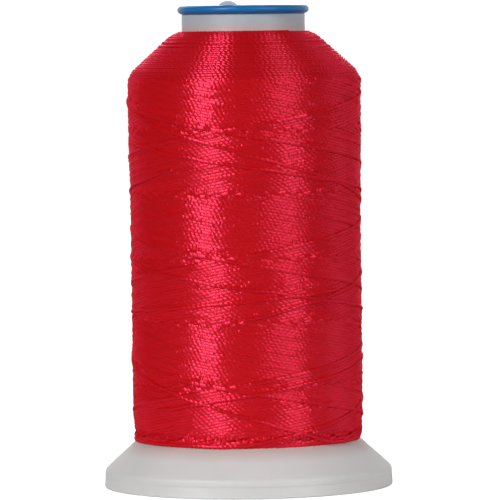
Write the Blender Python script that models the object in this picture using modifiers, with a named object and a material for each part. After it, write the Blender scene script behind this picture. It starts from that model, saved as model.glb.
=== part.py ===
"""A small spool of embroidery thread with a snap base, in metres, +Z up.

The spool stands on its base cap. The origin lies on the floor, on the spool's axis. The front of the
spool faces -Y. A hollow barrel with a conical flange carries the thread, a colour ring is pressed on
its top, and the base cap slides down out of the flange to open a slot that holds the thread's end.
"""

import math

import bmesh
import bpy
import numpy as np
from mathutils import Vector

# Whole spool
SPOOL_HEIGHT = 0.07045      # floor to the top of the colour ring
FIT_GAP = 0.0003            # between pieces that touch on the real spool

# Barrel and its conical flange
BARREL_RADIUS = 0.00902
BARREL_WALL = 0.00142
SPIGOT_WALL = 0.0008        # thin top end that the ring is pressed over
FLANGE_LIP = 0.00402        # how far the flange stands out past the thread
FLANGE_RIM_TOP = 0.0026     # floor to the upper edge of the flange's rim
FLANGE_WALL = 0.0013
CONE_ANGLE = math.radians(42.2)
EDGE_ROUND = 0.00025
LUG_WIDTH = 0.0027          # rounded lug that stands up past the ring
LUG_RISE = 0.0006
LUG_THICKNESS = 0.00045
LUG_ANGLE = math.radians(15.7)   # to the left of the front

# Base cap and its snap sleeve
CAP_OVERHANG = 0.0001       # past the flange's rim
CAP_RIM_HEIGHT = 0.0014
CAP_STEP = 0.00105          # the cap's floor stands above its rim, inside the flange
CAP_RECESS = 0.0012         # hollow under the cap, inside its foot
FOOT_WIDTH = 0.0030
FOOT_ROUND = 0.0003
SLEEVE_WALL = 0.0012
SNAP_STEP = 0.0006          # depth of the rib inside the barrel
SNAP_HEIGHT = 0.0012        # of the rib, and of the bead that catches on it
SNAP_LEAD = 0.0010          # from the top of the hollow cone to the rib
SNAP_TRAVEL = 0.0030
FINGER_SLOT = 0.0012
FINGER_SLOT_LENGTH = 0.0120
FINGER_SLOTS = 4

# Colour ring
RING_PROUD = 0.00062        # past the barrel
RING_HEIGHT = 0.0013
RING_NOSE = 0.0007          # depth of its rounded outer edge

# Thread package
THREAD_RADIUS = 0.01705     # just under the shoulder
THREAD_TAPER = 0.00045      # it is this much slimmer at the flange
NECK_HEIGHT = 0.0023        # bare barrel between the thread and the ring
NECK_FLAT = 0.0009          # level top of the thread, against the barrel
SHOULDER_ANGLE = math.radians(41.0)
SHOULDER_ROUND = 0.0025
LOOPS = 24
LOOP_GAP = 0.0006           # between neighbouring loops of the outer layer
LOOP_FLATNESS = 0.45        # thickness of a loop over its width, as wound thread is pressed flat
SKIRT_WALL = 0.0006         # core left between an end of the winding and what it lies on

# Smoothness
SEGMENTS = 64
LOOP_POINTS = 24
ARC_STEPS = 4
MERGE = 0.000001

# Levels and radii worked out from the sizes above
ring_bottom = SPOOL_HEIGHT - RING_HEIGHT
barrel_shoulder = ring_bottom - FIT_GAP
thread_top = ring_bottom - NECK_HEIGHT
flange_radius = THREAD_RADIUS + FLANGE_LIP
flange_bottom = CAP_RIM_HEIGHT + FIT_GAP
bore_radius = BARREL_RADIUS - BARREL_WALL
spigot_radius = bore_radius + SPIGOT_WALL
rib_radius = bore_radius - SNAP_STEP
sleeve_radius = rib_radius - FIT_GAP
pin_bore_radius = sleeve_radius - SLEEVE_WALL
bead_radius = bore_radius - FIT_GAP
cap_radius = flange_radius + CAP_OVERHANG
cap_floor_top = CAP_RIM_HEIGHT + CAP_STEP
core_bore = BARREL_RADIUS + FIT_GAP
chord_dip = THREAD_RADIUS * (1.0 - math.cos(math.pi / LOOP_POINTS))


def cone_height(radius, offset=0.0):
    """Height of the flange's cone at a radius; offset is measured square to the cone."""
    rise = (flange_radius - radius) * math.tan(CONE_ANGLE)
    return FLANGE_RIM_TOP + rise + offset / math.cos(CONE_ANGLE)


def cone_radius(height, offset=0.0):
    """Radius of the flange's cone at a height; offset is measured square to the cone."""
    rise = height - FLANGE_RIM_TOP - offset / math.cos(CONE_ANGLE)
    return flange_radius - rise / math.tan(CONE_ANGLE)


rib_bottom = cone_height(bore_radius, -FLANGE_WALL) + SNAP_LEAD
rib_top = rib_bottom + SNAP_STEP + SNAP_HEIGHT
bead_bottom = rib_top + SNAP_TRAVEL + FIT_GAP
bead_top = bead_bottom + SNAP_HEIGHT
sleeve_top = bead_top + bead_radius - sleeve_radius


def thread_radius(height):
    """Outside radius of the thread's side at a height."""
    bottom = FLANGE_RIM_TOP
    share = (height - bottom) / (thread_top - bottom)
    return THREAD_RADIUS - THREAD_TAPER * (1.0 - share)


def shoulder_height(radius, depth=0.0):
    """Height of the thread's sloping shoulder at a radius, at a depth square to its surface."""
    run = radius - BARREL_RADIUS - NECK_FLAT
    return thread_top - run * math.tan(SHOULDER_ANGLE) - depth / math.cos(SHOULDER_ANGLE)


class WindingPath:
    """Line through the middle of the outer layer, in radius and height, from the flange to the neck.

    It runs up the side, turns the shoulder on an arc and climbs the shoulder's slope.
    """

    def __init__(self, half_width):
        self.half_width = half_width
        self.half_thickness = half_width * LOOP_FLATNESS
        groove_wall = FIT_GAP + SKIRT_WALL + FIT_GAP + half_width
        low_radius = thread_radius(cone_height(THREAD_RADIUS)) - self.half_thickness
        self.low = np.array((low_radius, cone_height(low_radius, groove_wall)))
        high_radius = BARREL_RADIUS + groove_wall
        self.high = np.array((high_radius, shoulder_height(high_radius, self.half_thickness)))
        corner_radius = THREAD_RADIUS - self.half_thickness
        corner = np.array((corner_radius, shoulder_height(corner_radius, self.half_thickness)))
        self.side = (corner - self.low) / np.linalg.norm(corner - self.low)
        self.slope = (self.high - corner) / np.linalg.norm(self.high - corner)
        self.turn = math.acos(float(np.dot(self.side, self.slope)))
        tangent = SHOULDER_ROUND * math.tan(self.turn / 2.0)
        self.side_length = float(np.linalg.norm(corner - self.low)) - tangent
        self.arc_length = SHOULDER_ROUND * self.turn
        self.slope_length = float(np.linalg.norm(self.high - corner)) - tangent
        self.length = self.side_length + self.arc_length + self.slope_length

    def place(self, distance):
        """Point at a distance along the line, and the outward normal there."""
        side_normal = np.array((self.side[1], -self.side[0]))
        slope_normal = np.array((self.slope[1], -self.slope[0]))
        if distance <= self.side_length:
            return self.low + self.side * distance, side_normal
        past_arc = distance - self.side_length - self.arc_length
        if past_arc >= 0.0:
            return self.high - self.slope * (self.slope_length - past_arc), slope_normal
        angle = (distance - self.side_length) / SHOULDER_ROUND
        centre = self.low + self.side * self.side_length - side_normal * SHOULDER_ROUND
        normal = side_normal * math.cos(angle) + self.side * math.sin(angle)
        return centre + normal * SHOULDER_ROUND, normal


def settle_winding():
    """The path whose loops lie LOOP_GAP apart, found by letting the loop width settle."""
    half_width = LOOP_GAP
    for _ in range(40):
        path = WindingPath(half_width)
        half_width = (path.length / LOOPS - LOOP_GAP) / 2.0
    return WindingPath(half_width)


def arc(centre, radii, start, end):
    """Points of an elliptic arc in radius and height, angles in degrees, both ends included."""
    points = []
    for step in range(ARC_STEPS + 1):
        angle = math.radians(start + (end - start) * step / ARC_STEPS)
        points.append((centre[0] + radii[0] * math.cos(angle), centre[1] + radii[1] * math.sin(angle)))
    return points


def clear_scene():
    for item in list(bpy.data.objects):
        bpy.data.objects.remove(item, do_unlink=True)
    for group in list(bpy.data.collections):
        bpy.data.collections.remove(group)


def new_collection(name):
    group = bpy.data.collections.new(name)
    bpy.context.scene.collection.children.link(group)
    return group


def plain_material(name, colour, roughness):
    material = bpy.data.materials.new(name)
    material.use_nodes = True
    shader = material.node_tree.nodes["Principled BSDF"]
    shader.inputs["Base Color"].default_value = (*colour, 1.0)
    shader.inputs["Roughness"].default_value = roughness
    shader.inputs["Metallic"].default_value = 0.0
    material.diffuse_color = (*colour, 1.0)
    return material


def shade_round(mesh):
    mesh.shade_smooth()
    mesh.set_sharp_from_angle(angle=math.radians(35.0))


def turned(name, profile, material, group):
    """A closed profile at +X, listed clockwise, turned about Z with a Screw modifier."""
    mesh = bpy.data.meshes.new(name)
    form = bmesh.new()
    points = [form.verts.new((radius, 0.0, height)) for radius, height in profile]
    for first, second in zip(points, points[1:] + points[:1]):
        form.edges.new((first, second))
    form.to_mesh(mesh)
    form.free()
    piece = bpy.data.objects.new(name, mesh)
    piece.data.materials.append(material)
    group.objects.link(piece)
    screw = piece.modifiers.new("Turn", "SCREW")
    screw.axis = "Z"
    screw.angle = 2.0 * math.pi
    screw.steps = SEGMENTS
    screw.render_steps = SEGMENTS
    screw.use_merge_vertices = True
    screw.merge_threshold = MERGE
    screw.use_smooth_shade = True
    return piece


def settle_mesh(piece):
    """Applies the modifiers, so that the finished mesh can be shaded by its edges."""
    graph = bpy.context.evaluated_depsgraph_get()
    mesh = bpy.data.meshes.new_from_object(piece.evaluated_get(graph))
    mesh.name = piece.name
    piece.modifiers.clear()
    piece.data = mesh
    shade_round(mesh)


def hide_cutter(cutter):
    cutter.hide_render = True
    cutter.display_type = "WIRE"


def join_or_cut(piece, other, operation):
    change = piece.modifiers.new(other.name, "BOOLEAN")
    change.operation = operation
    change.object = other
    change.solver = "EXACT"


def loop_section(name, half_width, half_thickness, group):
    """A flat six-sided outline for the loops, wide along Y, with level faces towards +X and -X."""
    curve = bpy.data.curves.new(name, "CURVE")
    curve.dimensions = "2D"
    curve.fill_mode = "NONE"
    spline = curve.splines.new("POLY")
    spline.points.add(5)
    spline.use_cyclic_u = True
    corner = math.pi / 3.0
    for index, target in enumerate(spline.points):
        across = half_thickness * math.sin(index * corner) / math.sin(corner)
        target.co = (across, half_width * math.cos(index * corner), 0.0, 1.0)
    section = bpy.data.objects.new(name, curve)
    group.objects.link(section)
    hide_cutter(section)
    return section


def tube_curve(name, points, tilts, section):
    """A tube of the section along the points, leaning by a tilt at each of them."""
    curve = bpy.data.curves.new(name, "CURVE")
    curve.dimensions = "3D"
    curve.twist_mode = "Z_UP"
    curve.bevel_mode = "OBJECT"
    curve.bevel_object = section
    curve.use_fill_caps = True
    spline = curve.splines.new("POLY")
    spline.points.add(len(points) - 1)
    for target, point, tilt in zip(spline.points, points, tilts):
        target.co = (*point, 1.0)
        target.tilt = tilt
    return bpy.data.objects.new(name, curve)


def tube_cutter(name, points, tilts, section, group):
    """A closed mesh tube along the points, for cutting."""
    source = tube_curve(name + "_path", points, tilts, section)
    group.objects.link(source)
    graph = bpy.context.evaluated_depsgraph_get()
    mesh = bpy.data.meshes.new_from_object(source.evaluated_get(graph))
    form = bmesh.new()
    form.from_mesh(mesh)
    bmesh.ops.remove_doubles(form, verts=form.verts, dist=MERGE)
    bmesh.ops.recalc_face_normals(form, faces=form.faces)
    form.to_mesh(mesh)
    form.free()
    bpy.data.objects.remove(source, do_unlink=True)
    cutter = bpy.data.objects.new(name, mesh)
    group.objects.link(cutter)
    hide_cutter(cutter)
    return cutter


def barrel_profile():
    profile = [
        (spigot_radius, SPOOL_HEIGHT - FIT_GAP),
        (spigot_radius, barrel_shoulder),
        (BARREL_RADIUS - EDGE_ROUND, barrel_shoulder),
        (BARREL_RADIUS, barrel_shoulder - EDGE_ROUND),
        (BARREL_RADIUS, cone_height(BARREL_RADIUS)),
    ]
    rim = flange_radius - EDGE_ROUND
    profile.append((rim, cone_height(rim)))
    profile.append((flange_radius, FLANGE_RIM_TOP - EDGE_ROUND))
    profile.append((flange_radius, flange_bottom))
    profile.append((cone_radius(flange_bottom, -FLANGE_WALL), flange_bottom))
    profile.append((bore_radius, cone_height(bore_radius, -FLANGE_WALL)))
    profile.append((bore_radius, rib_bottom))
    profile.append((rib_radius, rib_bottom + SNAP_STEP))
    profile.append((rib_radius, rib_top))
    profile.append((bore_radius, rib_top))
    profile.append((bore_radius, SPOOL_HEIGHT - FIT_GAP))
    return profile


def make_barrel(material, group, cutters):
    """White barrel with its conical flange, inner snap rib, ring spigot and one rounded lug."""
    barrel = turned("spool_barrel", barrel_profile(), material, group)
    lug_radius = (LUG_WIDTH**2 / 4.0 + LUG_RISE**2) / (2.0 * LUG_RISE)
    middle = (bore_radius + spigot_radius) / 2.0
    bpy.ops.mesh.primitive_cylinder_add(vertices=48, radius=lug_radius, depth=LUG_THICKNESS)
    lug = bpy.context.object
    lug.name = "lug_form"
    lug.rotation_euler = (math.pi / 2.0, 0.0, -LUG_ANGLE)
    lug.location = (
        -middle * math.sin(LUG_ANGLE),
        -middle * math.cos(LUG_ANGLE),
        SPOOL_HEIGHT + LUG_RISE - lug_radius,
    )
    for owner in list(lug.users_collection):
        owner.objects.unlink(lug)
    cutters.objects.link(lug)
    hide_cutter(lug)
    join_or_cut(barrel, lug, "UNION")
    settle_mesh(barrel)
    return barrel


def cap_profile():
    step_radius = cone_radius(cap_floor_top, -FLANGE_WALL) - FIT_GAP
    profile = [
        (sleeve_radius, sleeve_top),
        (bead_radius, bead_top),
        (bead_radius, bead_bottom),
        (sleeve_radius, bead_bottom),
        (sleeve_radius, cap_floor_top + EDGE_ROUND),
        (sleeve_radius + EDGE_ROUND, cap_floor_top),
        (step_radius - FIT_GAP, cap_floor_top),
        (step_radius - FIT_GAP, CAP_RIM_HEIGHT),
        (cap_radius - EDGE_ROUND, CAP_RIM_HEIGHT),
        (cap_radius, CAP_RIM_HEIGHT - EDGE_ROUND),
    ]
    profile += arc((cap_radius - FOOT_ROUND, FOOT_ROUND), (FOOT_ROUND, FOOT_ROUND), 0.0, -90.0)
    foot_inside = cap_radius - FOOT_ROUND - FOOT_WIDTH
    profile.append((foot_inside, 0.0))
    profile.append((foot_inside - CAP_RECESS, CAP_RECESS))
    profile.append((pin_bore_radius + EDGE_ROUND, CAP_RECESS))
    profile.append((pin_bore_radius, CAP_RECESS + EDGE_ROUND))
    profile.append((pin_bore_radius, sleeve_top))
    return profile


def make_base_cap(material, group, cutters):
    """White snap cap: foot, floor, and a sleeve split into fingers whose bead catches on the rib."""
    cap = turned("base_cap", cap_profile(), material, group)
    for index in range(FINGER_SLOTS // 2):
        bpy.ops.mesh.primitive_cube_add(size=1.0)
        slot = bpy.context.object
        slot.name = f"finger_slot_{index + 1}"
        slot.scale = (4.0 * bead_radius, FINGER_SLOT, 2.0 * FINGER_SLOT_LENGTH)
        slot.location = (0.0, 0.0, sleeve_top)
        slot.rotation_euler = (0.0, 0.0, math.pi * (index + 0.5) * 2.0 / FINGER_SLOTS)
        for owner in list(slot.users_collection):
            owner.objects.unlink(slot)
        cutters.objects.link(slot)
        hide_cutter(slot)
        join_or_cut(cap, slot, "DIFFERENCE")
    settle_mesh(cap)
    return cap


def make_top_ring(material, group):
    """Blue ring with a rounded outer edge, pressed on the barrel's spigot."""
    inside = spigot_radius + FIT_GAP
    outside = BARREL_RADIUS + RING_PROUD
    half = RING_HEIGHT / 2.0
    profile = arc((outside - RING_NOSE, half), (RING_NOSE, half), 90.0, -90.0)
    profile += [(inside, 0.0), (inside, RING_HEIGHT)]
    ring = turned("top_ring", profile, material, group)
    ring.location = (0.0, 0.0, ring_bottom)
    settle_mesh(ring)
    return ring


def winding_points(path):
    """Points of the outer layer, from the flange to the neck, with a straight run at both ends.

    With each point comes the lean of the thread's surface there, from upright.
    """
    points = []
    leans = []
    count = LOOPS * LOOP_POINTS
    for step in range(-1, count + 2):
        (radius, height), normal = path.place(path.length * min(max(step, 0), count) / count)
        angle = 2.0 * math.pi * step / LOOP_POINTS
        points.append(Vector((radius * math.cos(angle), radius * math.sin(angle), height)))
        leans.append(-math.atan2(normal[1], normal[0]))
    straight = 2.0 * path.half_width
    points[0] = points[1] + (points[0] - points[1]).normalized() * straight
    points[-1] = points[-2] + (points[-1] - points[-2]).normalized() * straight
    return points, leans


def pushed_out(points, distance):
    """The same line, longer by a distance at both ends."""
    first = points[0] + (points[0] - points[1]).normalized() * distance
    last = points[-1] + (points[-1] - points[-2]).normalized() * distance
    return [first] + points[1:-1] + [last]


def least_gap(points, loop_width):
    """Least clear distance between loops, measured on points spread along the tube's middle."""
    dense = []
    for first, second in zip(points, points[1:]):
        dense += [np.array(first.lerp(second, share / 3.0)) for share in range(3)]
    dense = np.array(dense)
    apart = 3 * LOOP_POINTS // 2
    nearest = min(
        float(np.linalg.norm(dense[index + apart:] - dense[index], axis=1).min())
        for index in range(len(dense) - apart)
    )
    return nearest - loop_width


def core_profile(path):
    depth = path.half_thickness + FIT_GAP + chord_dip
    low_collar = path.low[0] + path.half_thickness
    low_collar_top = path.low[1] + path.half_width / 2.0
    high_collar = path.high[0] + path.half_width / 2.0
    profile = [
        (core_bore, thread_top),
        (BARREL_RADIUS + NECK_FLAT, thread_top),
        (high_collar, shoulder_height(high_collar)),
        (high_collar, shoulder_height(high_collar, depth + path.half_thickness)),
    ]
    for share in (1.0, 0.75, 0.5, 0.25, 0.0):
        place, normal = path.place(path.side_length + path.arc_length * share)
        profile.append(tuple(place - normal * depth))
    low, normal = path.place(low_collar_top - path.low[1])
    profile.append(tuple(low - normal * depth))
    profile.append((low_collar, low_collar_top))
    profile.append((low_collar, cone_height(low_collar, FIT_GAP)))
    profile.append((core_bore, cone_height(core_bore, FIT_GAP)))
    return profile


def make_thread(material, group, cutters):
    """Thread package: a plain core of inner layers, and the outer layer as one unbroken tube."""
    path = settle_winding()
    points, leans = winding_points(path)
    core = turned("thread_core", core_profile(path), material, group)
    room = loop_section(
        "groove_section", path.half_width + 1.5 * FIT_GAP, path.half_thickness + FIT_GAP, cutters)
    longer = pushed_out(points, FIT_GAP)
    reach = LOOP_POINTS - 2
    for name, run in (("lower_groove", slice(0, reach)), ("upper_groove", slice(-reach, None))):
        cutter = tube_cutter(name, longer[run], leans[run], room, cutters)
        join_or_cut(core, cutter, "DIFFERENCE")
    settle_mesh(core)
    section = loop_section("loop_section", path.half_width, path.half_thickness, cutters)
    winding = tube_curve("thread_winding", points, leans, section)
    winding.data.materials.append(material)
    group.objects.link(winding)
    width = 2.0 * path.half_width
    print(f"thread_winding: {LOOPS} loops of {1000.0 * width:.2f} by {2000.0 * path.half_thickness:.2f} mm, "
          f"least gap to itself {1000.0 * least_gap(points, width):.2f} mm")
    return core, winding


def main():
    clear_scene()
    parts = new_collection("thread_spool")
    cutters = new_collection("cutters")
    white = plain_material("white_plastic", (0.72, 0.70, 0.69), 0.42)
    blue = plain_material("blue_plastic", (0.012, 0.12, 0.33), 0.35)
    red = plain_material("red_thread", (0.50, 0.006, 0.012), 0.45)
    barrel = make_barrel(white, parts, cutters)
    make_base_cap(white, parts, cutters)
    ring = make_top_ring(blue, parts)
    core, winding = make_thread(red, parts, cutters)
    body = bpy.data.objects.new("spool_body", None)
    parts.objects.link(body)
    for piece in (barrel, ring, core, winding):
        piece.parent = body


main()
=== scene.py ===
"""Looks of a small snap-base spool of red embroidery thread, laid out as a Blender add-on.

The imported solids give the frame. The thread is laid strand by strand as a winder lays it: strokes climb
and fall round the barrel, each new one beside the last, and later strands ride over earlier ones.
Lengths in the settings are metres. The winding itself is worked out in millimetres.
"""

import math

import bpy
import numpy as np
from bpy.props import FloatProperty, FloatVectorProperty, IntProperty, PointerProperty
from bpy.types import Operator, Panel, PropertyGroup
from mathutils import Matrix, Vector


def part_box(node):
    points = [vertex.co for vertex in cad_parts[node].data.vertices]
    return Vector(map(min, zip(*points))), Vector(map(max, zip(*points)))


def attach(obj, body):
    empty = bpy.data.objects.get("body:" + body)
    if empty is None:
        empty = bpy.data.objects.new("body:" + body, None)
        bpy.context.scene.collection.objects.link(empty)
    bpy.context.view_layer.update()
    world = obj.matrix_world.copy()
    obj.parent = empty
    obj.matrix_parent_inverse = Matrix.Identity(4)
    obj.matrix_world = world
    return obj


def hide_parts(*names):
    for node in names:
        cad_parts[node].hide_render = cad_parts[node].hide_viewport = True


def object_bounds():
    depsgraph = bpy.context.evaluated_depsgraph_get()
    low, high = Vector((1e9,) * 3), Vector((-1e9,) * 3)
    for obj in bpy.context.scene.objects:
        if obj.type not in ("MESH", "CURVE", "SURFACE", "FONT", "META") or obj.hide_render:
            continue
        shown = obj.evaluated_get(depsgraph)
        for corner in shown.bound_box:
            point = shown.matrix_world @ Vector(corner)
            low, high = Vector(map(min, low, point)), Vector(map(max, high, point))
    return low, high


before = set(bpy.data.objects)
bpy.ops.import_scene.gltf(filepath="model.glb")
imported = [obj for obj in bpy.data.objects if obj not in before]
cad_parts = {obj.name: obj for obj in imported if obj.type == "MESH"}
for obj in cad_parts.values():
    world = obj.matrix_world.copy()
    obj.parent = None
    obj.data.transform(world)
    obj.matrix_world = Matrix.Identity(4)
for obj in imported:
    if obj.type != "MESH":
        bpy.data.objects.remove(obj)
cad_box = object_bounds()

bl_info = {
    "name": "Embroidery thread spool",
    "version": (1, 0, 0),
    "blender": (4, 5, 0),
    "location": "View3D > Sidebar > Spool",
    "description": "Builds a cross-wound spool of red thread on its white snap-base barrel",
    "category": "Add Mesh",
}

MM = 0.001
IMAGE_SIDE = 500            # pixels, both ways
STRAND_MAP = "OFBake"
STROKE_PIECES = 8           # objects that the strokes are shared out to

# Small sizes of the mouldings, in metres
SEAM_GAP = 0.00001          # between pieces that touch, so that no two faces coincide
SNAP_HEIGHT = 0.0012        # of the rib in the barrel and of the bead that catches on it
SNAP_LEAD = 0.0010          # from the top of the hollow cone to the rib
SLEEVE_FILLET = 0.0006      # where the sleeve stands on the cap's floor
ROOT_FILLET = 0.0004        # where the cone meets the tube
FOOT_ROUND = 0.0002
FINGER_SLOTS = 4
FINGER_SLOT = 0.0012        # width of the slots between the snap fingers
FINGER_SLOT_LENGTH = 0.012
LUG_THICKNESS = 0.00045
RING_NOSE = 0.00078         # depth of the ring's rounded outer edge
RING_CORNER = 0.00012
RING_STEPS = 25             # points on that edge
RIM_ROUND = 5.0             # rounding of the flange's rim over that of the other edges
PAINTED_BOUNCE_BELOW = 0.0017        # how far the painted red light and shade from the thread reach into the flange
PAINTED_BOUNCE_ABOVE = 0.0012        # and into the tube over the thread
BODY_GAP = 0.0001           # between the thread's body and the flange
BODY_LEDGE = 0.0004         # least width of the body's top

# Finishes
TONE_DRIFT = (0.93, 1.07)   # slow drift of a moulding's tone
GRAIN_DEPTH = (0.85, 1.15)  # fine grain in its roughness
# Strand tones differ at random; the shoulder's turns take the lowest, as painted shade.
STRAND_TONES = (0.86, 1.10)
STRAND_ROUGHNESS = (0.35, 0.39)
MIX_FACTOR, MIX_DARK, MIX_LIGHT, MIX_RESULT = 0, 6, 7, 2     # colour sockets of the Mix node

# How the thread lies. Lengths are millimetres.
STEPS_PER_TWIST = 10        # points along a strand in one turn of its plies
STROKE_START = 0.30         # lowest turn, above the flange
STROKE_OVERRUN = 0.5        # highest turn, past the shoulder's corner
STROKE_EASE = 0.022         # share of a stroke in which it eases into its turn
WANDER = 0.03               # sideways wander of a strand
STRAY_START = 0.4           # lowest place of a loose strand, above the flange
STRAY_WANDER = 0.08
STRAY_SETTLE = 9            # steps over which a loose strand is drawn straight
STRAY_PHASE = 6.0           # radians over which the plies of loose strands start
PLY_SHIFT, PLY_JITTER = 0.30, 0.12      # turn of the plies from strand to strand, in half turns
PLY_OFFSET = 1.3            # radians by which falling strokes' plies are turned from climbing ones'
SHOULDER_LAP = 1.1          # how far the shoulder's turns start below its corner
SHOULDER_END = 0.24         # how far the last of them lies from the barrel
SHOULDER_PITCH = 1.02       # their pitch over the strands' spacing
SHOULDER_SINK, SHOULDER_SINK_RUN = 0.22, 0.55   # how deep the first of them lie, and over what run
SHOULDER_LOOSE = 0.07       # how unevenly the upper turns ride
SHOULDER_LOOSE_RUN = 3.0    # from the corner to where that starts, and from there to where it is full
SHOULDER_SWAY, SHOULDER_SWAY_RATE = 0.05, 0.37  # slow sway of the turns, and its waves to a turn
BODY_DEPTH = 0.75           # from the package's outside to the body under its strands

# Loose strands: degrees right of the front, height in millimetres, millimetres risen in a turn, turns.
STRAYS = (
    (-24.0, 51.1, -30.0, 1.05),
    (30.0, 28.4, -16.0, 0.8),
    (-50.0, 15.5, -31.0, 0.7),
    (44.0, 9.9, 22.7, 0.8),
    (57.0, 17.2, 17.6, 0.6),
    (54.0, 44.8, -16.4, 0.7),
    (-58.0, 26.5, 9.0, 0.6),
    (160.0, 36.0, 24.0, 0.9),
)

# Lamps: name, degrees right of the front, degrees up, and width and height in metres.
LAMPS = (
    ("key", -37.0, 33.0, (0.17, 0.22)),
    ("fill", 42.0, 32.0, (0.27, 0.24)),
    ("key_low", -40.0, 4.0, (0.30, 0.16)),
    ("fill_low", 48.0, 4.0, (0.27, 0.16)),
    ("side", 105.0, 10.0, (0.50, 0.40)),
    ("rear", 180.0, 26.0, (0.26, 0.26)),
    ("rear_low", 180.0, 5.0, (0.30, 0.16)),
)
LAMP_DISTANCE = 0.9

# Floor and backdrop. Runs are metres from the spool.
FLOOR_SIDE, BACKDROP_SIDE = 6.0, 3.2
BACKDROP_PLACE = (0.0, 1.4, 1.55)
FLOOR_DROP = 0.00005        # the floor lies this much under the foot
PAPER_TONES, PAPER_RUN = (0.85, 0.30), (0.05, 0.12)     # pale by the spool, greyer further off
FLOOR_GLOW, WHITE_GLOW = 0.90, 1.0                      # what the camera sees by the spool and beyond
FLOOR_GLOW_RUN = (0.03, 0.06)
MIRROR_RUN = (0.10, 0.50)   # behind the spool, where reflections start to see white

RING_LOW, RING_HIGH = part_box("top_ring")
BARREL_LOW, BARREL_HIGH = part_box("spool_barrel")
_, CAP_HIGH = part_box("base_cap")
_, CORE_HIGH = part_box("thread_core")
_, WINDING_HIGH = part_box("thread_winding")


def metres(name, description, default):
    """A length setting, in metres."""
    return FloatProperty(
        name=name, description=description, default=default, subtype="DISTANCE", unit="LENGTH", precision=6)


def degrees(name, description, default):
    """An angle setting, from degrees."""
    return FloatProperty(
        name=name, description=description, default=math.radians(default), subtype="ANGLE", unit="ROTATION")


def rgb(name, description, default):
    """A colour setting."""
    return FloatVectorProperty(
        name=name, description=description, default=default, size=3, min=0.0, max=1.0, subtype="COLOR")


def watts(name, description, default):
    """A power setting, in watts."""
    return FloatProperty(
        name=name, description=description, default=default, min=0.0, subtype="POWER", unit="POWER")


class MouldingSettings(PropertyGroup):
    """Sizes and colours of the three plastic mouldings."""

    barrel_radius: metres("Barrel radius", "Outside of the tube above the thread", 0.00902)
    barrel_wall: metres("Barrel wall", "Thickness of the tube", 0.00142)
    spigot_wall: metres("Spigot wall", "Thickness of the top end inside the ring", 0.0008)
    flange_rim_top: metres("Rim top", "Height of the cone's lower edge above the floor", 0.0026)
    flange_wall: metres("Flange wall", "Thickness of the conical flange", 0.0013)
    cone_angle: degrees("Cone angle", "Slope of the flange from level", 42.2)
    cap_rim_height: metres("Cap rim", "Height of the base cap's rim", 0.0014)
    cap_step: metres("Cap step", "Rise of the cap's floor inside the flange", 0.00105)
    cap_recess: metres("Cap recess", "Hollow under the cap", 0.0012)
    foot_width: metres("Foot width", "Flat ring that the spool stands on", 0.0030)
    sleeve_wall: metres("Sleeve wall", "Thickness of the snap sleeve", 0.0012)
    snap_step: metres("Snap step", "Depth of the rib that holds the sleeve", 0.0006)
    fit_gap: metres("Fit gap", "Clearance between the mouldings", 0.0003)
    edge_round: metres("Edge round", "Radius of the moulded edges", 0.00022)
    lug_width: metres("Lug width", "Width of the rounded lug above the ring", 0.0027)
    lug_angle: degrees("Lug angle", "Place of the lug, to the left of the front", 15.7)
    white: rgb("White", "Colour of the barrel and the base", (0.690, 0.694, 0.690))
    # Painted light: the barrel next to the thread is painted redder and darker, for the red light that the
    # thread throws on it and the shade beside it.
    painted_red_bounce: rgb("Painted red bounce", "Barrel where the thread shines through it", (0.57, 0.45, 0.43))
    # Painted shade: the tube between the thread and the ring is painted darker and bluer, for the ring's
    # shade and its blue light on the thin translucent wall.
    painted_tube_shade: rgb(
        "Painted tube shade", "Barrel above the thread, painted darker and bluer", (0.458, 0.508, 0.565))
    blue: rgb("Blue", "Colour of the top ring", (0.006, 0.175, 0.480))
    segments: IntProperty(
        name="Segments", description="Steps round each turned moulding", default=192, min=24)


class ThreadSettings(PropertyGroup):
    """Sizes and colours of the thread and of its winding."""

    spacing: metres("Spacing", "Between the middles of neighbouring strands", 0.00041)
    crest_radius: metres("Crest radius", "From the strand's middle to the top of a ply", 0.000265)
    valley_radius: metres(
        "Valley radius", "From the strand's middle to the groove between plies", 0.000188)
    press: FloatProperty(
        name="Press", description="Height of a laid strand as a share of its round height", default=0.68)
    loose_press: FloatProperty(
        name="Loose press", description="The same for the strands that lie loose", default=0.85)
    twist_length: metres("Twist length", "Length of thread in which a ply goes once round", 0.0015)
    turns_per_stroke: IntProperty(
        name="Turns per stroke", description="Turns of the spool in one climb", default=3, min=1)
    layer: metres("Layer", "How far a crossing strand rides up", 0.00026)
    front_angle: degrees("Last crossing", "Angle at which the last strokes cross", -105.0)
    swell: metres("Swell", "How much fuller the package is below its shoulder", 0.00019)
    foot_draw: metres("Foot draw", "How much the package draws in at the flange", 0.00035)
    shoulder_angle: degrees("Shoulder angle", "Slope of the package's shoulder from level", 42.0)
    shoulder_round: metres("Shoulder round", "Radius where the side turns into the shoulder", 0.0030)
    neck_flat: metres(
        "Neck flat", "From the barrel to where the shoulder's slope meets the package's top", 0.0009)
    neck_round: metres("Neck round", "Radius where the shoulder turns level at the barrel", 0.0050)
    red: rgb("Red", "Colour of the thread", (0.665, 0.0041, 0.0029))
    # Painted shade: the grooves between plies are painted darker than the crests.
    painted_groove_shade: rgb("Painted groove shade", "Colour in the grooves between plies", (0.635, 0.0039, 0.0028))
    sheen: rgb("Sheen", "Colour of the light that the thread throws back", (0.66, 0.048, 0.113))
    tone_spread: FloatProperty(
        name="Tone spread", description="How much the strands differ in tone, as a share of the full range",
        default=0.4, min=0.0, max=1.0)
    seed: IntProperty(name="Seed", description="Seed of the small irregularities", default=7)


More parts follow.
